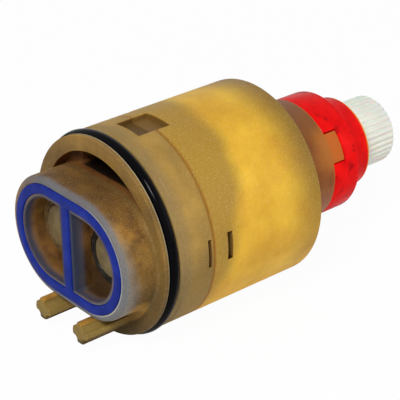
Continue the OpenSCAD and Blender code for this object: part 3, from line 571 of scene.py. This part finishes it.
# Check valves and balance sleeve
# Poppets, cages, sleeve and plug are moulded from acetal in its natural greyish beige, which has
# a satin, slightly waxy face.
acetal = coat("acetal_moulded_natural", "#6C5C3E", "#8A7850", patch_mm=2.5, grain_mm=0.25,
              depth_mm=0.008, rough=(0.36, 0.5), IOR=1.48, Subsurface_Weight=0.1,
              Subsurface_Scale=0.8 * MM)
for node, body in (("hot_check_poppet", "hot_poppet"), ("cold_check_poppet", "cold_poppet"),
                   ("hot_check_cage", "housing"), ("cold_check_cage", "housing"),
                   ("balance_sleeve", "housing"), ("balance_plug", "housing")):
    moulding(node, body, "beige_acetal", acetal, edge_mm=0.08)


# Check springs and balance spool
# The springs are cold-wound stainless wire with one closed turn at each end, and each sits
# between its cage and its poppet. The spool is turned from the same steel.
CHECK_X_MM = 7.2
SPRING_R_MM = 3
SPRING_LOW_MM = 0.77
SPRING_HIGH_MM = -4.62
SPRING_WIRE_MM = 0.5
SPRING_TURNS = 5
CLOSED_TURNS = 0.75
STEPS_PER_TURN = 40
WIRE_STEPS = 12

# Drawing leaves the wire bright and nearly smooth
stainless = coat("stainless_drawn_wire", "#A2A5A8", "#C0C3C6", patch_mm=1.5, grain_mm=0.12,
                 depth_mm=0.002, rough=(0.24, 0.36), Metallic=1.0)

spring_tree, sizes = node_tree("closed_spring", Coil_Radius="Float", Wire_Radius="Float",
                               Turns="Float", Rise="Float", Centre="Vector", Turn="Vector",
                               Material="Material")
flat_turns = add(spring_tree, "GeometryNodeCurveSpiral",
                 {"Rotations": (sizes, "Turns"), "Start Radius": (sizes, "Coil Radius"),
                  "End Radius": (sizes, "Coil Radius")}, {"Resolution": STEPS_PER_TURN, "Height": 0.0})
# The coil climbs only between the closed turns at its ends
along = add(spring_tree, "GeometryNodeSplineParameter")
turn_now = add(spring_tree, "ShaderNodeMath", {0: (along, "Factor"), 1: (sizes, "Turns")},
               operation="MULTIPLY")
last = add(spring_tree, "ShaderNodeMath", {0: (sizes, "Turns")}, {1: CLOSED_TURNS},
           operation="SUBTRACT")
climb = add(spring_tree, "ShaderNodeMapRange",
            {"Value": (turn_now, 0), "From Max": (last, 0), "To Max": (sizes, "Rise")},
            {"From Min": CLOSED_TURNS, "To Min": 0.0})
lift = add(spring_tree, "ShaderNodeCombineXYZ", {"Z": (climb, "Result")})
helix = add(spring_tree, "GeometryNodeSetPosition", {"Geometry": (flat_turns, 0), "Offset": (lift, 0)})
wire = add(spring_tree, "GeometryNodeCurvePrimitiveCircle", {"Radius": (sizes, "Wire Radius")},
           {"Resolution": WIRE_STEPS})
swept = add(spring_tree, "GeometryNodeCurveToMesh",
            {"Curve": (helix, 0), "Profile Curve": (wire, "Curve")}, {"Fill Caps": True})
close(spring_tree, (swept, 0), sizes)

for side, supply in ((-1, "hot"), (1, "cold")):
    spring = grown(supply + "_spring_wound", spring_tree, stainless, Coil_Radius=SPRING_R_MM * MM,
                   Wire_Radius=SPRING_WIRE_MM / 2 * MM, Turns=float(SPRING_TURNS),
                   Rise=(SPRING_LOW_MM - SPRING_HIGH_MM - SPRING_WIRE_MM) * MM,
                   Centre=(side * CHECK_X_MM * MM, (SPRING_LOW_MM - SPRING_WIRE_MM / 2) * MM, 0),
                   Turn=(QUARTER, 0, 0))
    finished(spring, "housing", "spring_steel", stainless, supply + "_check_spring")
    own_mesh(spring)
moulding("balance_spool", "spool", "spring_steel", stainless, edge_mm=0.06)


# Ceramic discs
# Sintered alumina, lapped flat on the faces that slide: creamy white with a dull shine.
alumina = coat("alumina_lapped", "#E0DCCF", "#EDEADF", patch_mm=3, grain_mm=0.2, depth_mm=0.003,
               rough=(0.2, 0.36), IOR=1.77, Subsurface_Weight=0.1, Subsurface_Scale=0.5 * MM)
moulding("fixed_disc", "housing", "alumina", alumina, edge_mm=0.08)
moulding("moving_disc", "stem_set", "alumina", alumina, edge_mm=0.08)


# Carrier
# Dark glass-filled acetal, moulded; the glass fibres leave a faint mottle on its dull face.
fibre_filled = coat("acetal_glass_filled", "#2C2D31", "#3D3E43", patch_mm=1.2, grain_mm=0.3,
                    depth_mm=0.01, rough=(0.4, 0.55), IOR=1.5)
moulding("disc_carrier", "stem_set", "dark_acetal", fibre_filled, edge_mm=0.08)


# Stem
# White acetal stem with fine moulded splines for the handle, and its slippery thrust washer. The
# white is soft, because light goes into it.
white_acetal = coat("acetal_moulded_white", "#EAEBE0", "#F4F5EC", patch_mm=5, grain_mm=0.3,
                    depth_mm=0.006, rough=(0.34, 0.46), IOR=1.48, Subsurface_Weight=0.5,
                    Subsurface_Scale=1.5 * MM)
moulding("stem", "stem_set", "white_acetal", white_acetal, edge_mm=0.08)
moulding("thrust_washer", "stem_set", "white_acetal", white_acetal, edge_mm=0.08)


# Limit ring
# Hot-limit ring, moulded from clear red polycarbonate and pushed onto the collar's lugs. The
# edge of its hub gathers the light and looks orange.
HUB_TOP_MM = -58.85
HUB_R_MM = 9.1
clear_red, tree, shader, place = material(
    "polycarbonate_clear_red", IOR=1.58, Specular_IOR_Level=0.02, Transmission_Weight=0.04,
    Subsurface_Weight=0.15, Subsurface_Scale=1.0 * MM, Subsurface_Radius=(1.0, 0.08, 0.05))
streaks = mottle(tree, place, "#E8060C", "#FF1210", patch_mm=3)
axes = add(tree, "ShaderNodeSeparateXYZ", {"Vector": (place, "Vector")})
turned = add(tree, "ShaderNodeCombineXYZ", {"X": (axes, "X"), "Z": (axes, "Z")})
turned = add(tree, "ShaderNodeVectorMath", {0: (turned, 0)}, operation="LENGTH")
# Darker flecks, where the ribs inside the ring show through
flecks = add(tree, "ShaderNodeTexNoise", {"Vector": (place, "Vector")}, {"Scale": 0.45, "Detail": 2.0})
dark_flecks = (flecks, "Fac", 0.58, 0.72)
hub_edge = ((axes, "Y", HUB_TOP_MM + 0.6, HUB_TOP_MM + 0.25),
            (turned, "Value", HUB_R_MM - 0.7, HUB_R_MM - 0.3))
colour = tint(tree, (streaks, "Color"), "#9C080C", dark_flecks, most=0.6)
colour = tint(tree, colour, "#FFB030", *hub_edge)
tree.links.new(colour[0].outputs[colour[1]], shader.inputs["Base Color"])
surface(tree, shader, place, grain_mm=0.6, depth_mm=0.004, rough=(0.08, 0.16))
moulding("limit_ring", "limit", "red_plastic", clear_red, edge_mm=0.12)


# Table, lamps and camera
# A plain white table, soft lamps at a plain level, and the camera where the photograph's
# perspective puts it.
FLOOR_HALF = 1.5
FLOOR_GLOW = 0.97
SURROUND_LIGHT = 0.27
MIDDLE_Y = -0.025
LENS_MM = 147.67
SENSOR_MM = 36

floor_mesh = bpy.data.meshes.new("table_top")
floor_corners = [(x * FLOOR_HALF, y * FLOOR_HALF, cad_box[0][2])
                 for x, y in ((-1, -1), (1, -1), (1, 1), (-1, 1))]
floor_mesh.from_pydata(floor_corners, [], [(0, 1, 2, 3)])
floor = bpy.data.objects.new("table_top", floor_mesh)
bpy.context.scene.collection.objects.link(floor)
# White paper, which the camera sees nearly as bright as the surround
paper, tree, shader, place = material("paper_white_sweep")
colours = mottle(tree, place, "#F0F0F0", "#F4F4F4", patch_mm=80)
tree.links.new(colours.outputs["Color"], shader.inputs["Base Color"])
surface(tree, shader, place, grain_mm=2, depth_mm=0.01, rough=(0.7, 0.9))
path = add(tree, "ShaderNodeLightPath")
glow = add(tree, "ShaderNodeEmission", values={"Color": (1, 1, 1, 1), "Strength": 1.0})
share = add(tree, "ShaderNodeMath", {0: (path, "Is Camera Ray")}, {1: FLOOR_GLOW},
            operation="MULTIPLY")
mix = add(tree, "ShaderNodeMixShader", {0: (share, 0), 1: (shader, "BSDF"), 2: (glow, "Emission")})
tree.links.new(mix.outputs["Shader"], tree.nodes["Material Output"].inputs["Surface"])
floor_mesh.materials.append(paper)

# The surround is white to look at, in reflections and through the plastic, but lights softly
world = bpy.data.worlds.new("soft_box")
bpy.context.scene.world = world
world.use_nodes = True
tree = world.node_tree
background = tree.nodes["Background"]
background.inputs["Color"].default_value = (1, 1, 1, 1)
path = add(tree, "ShaderNodeLightPath")
seen = add(tree, "ShaderNodeMath", {0: (path, "Is Camera Ray"), 1: (path, "Is Glossy Ray")},
           operation="MAXIMUM")
seen = add(tree, "ShaderNodeMath", {0: (seen, 0), 1: (path, "Is Transmission Ray")},
           operation="MAXIMUM")
level = add(tree, "ShaderNodeMapRange", {"Value": (seen, 0)}, {"To Min": SURROUND_LIGHT, "To Max": 1.0})
tree.links.new(level.outputs["Result"], background.inputs["Strength"])

for name, toward, distance, size, power in (("key_lamp", (-0.40, 0.58, 0.71), 0.62, 0.16, 2.6),
                                            ("fill_lamp", (-0.75, -0.45, 0.35), 0.7, 0.4, 0.7)):
    lamp = bpy.data.lights.new(name, "AREA")
    lamp.size = size
    lamp.energy = power
    lamp_object = bpy.data.objects.new(name, lamp)
    away = Vector(toward).normalized()
    lamp_object.location = away * distance + Vector((0, MIDDLE_Y, 0))
    lamp_object.rotation_euler = (-away).to_track_quat("-Z", "Y").to_euler()
    bpy.context.scene.collection.objects.link(lamp_object)

camera = bpy.data.cameras.new("photo_camera")
camera.lens = LENS_MM
camera.sensor_width = SENSOR_MM
camera_object = bpy.data.objects.new("photo_camera", camera)
right = (-0.64354, -0.76530, -0.01297)
up = (0.34793, -0.30758, 0.88563)
back = (-0.68177, 0.56543, 0.46421)
spot = (-0.2079, 0.1490, 0.1407)
rows = [(right[i], up[i], back[i], spot[i]) for i in range(3)]
camera_object.matrix_world = Matrix(rows + [(0, 0, 0, 1)])
bpy.context.scene.collection.objects.link(camera_object)
bpy.context.scene.camera = camera_object
bpy.context.scene.view_settings.view_transform = "Standard"
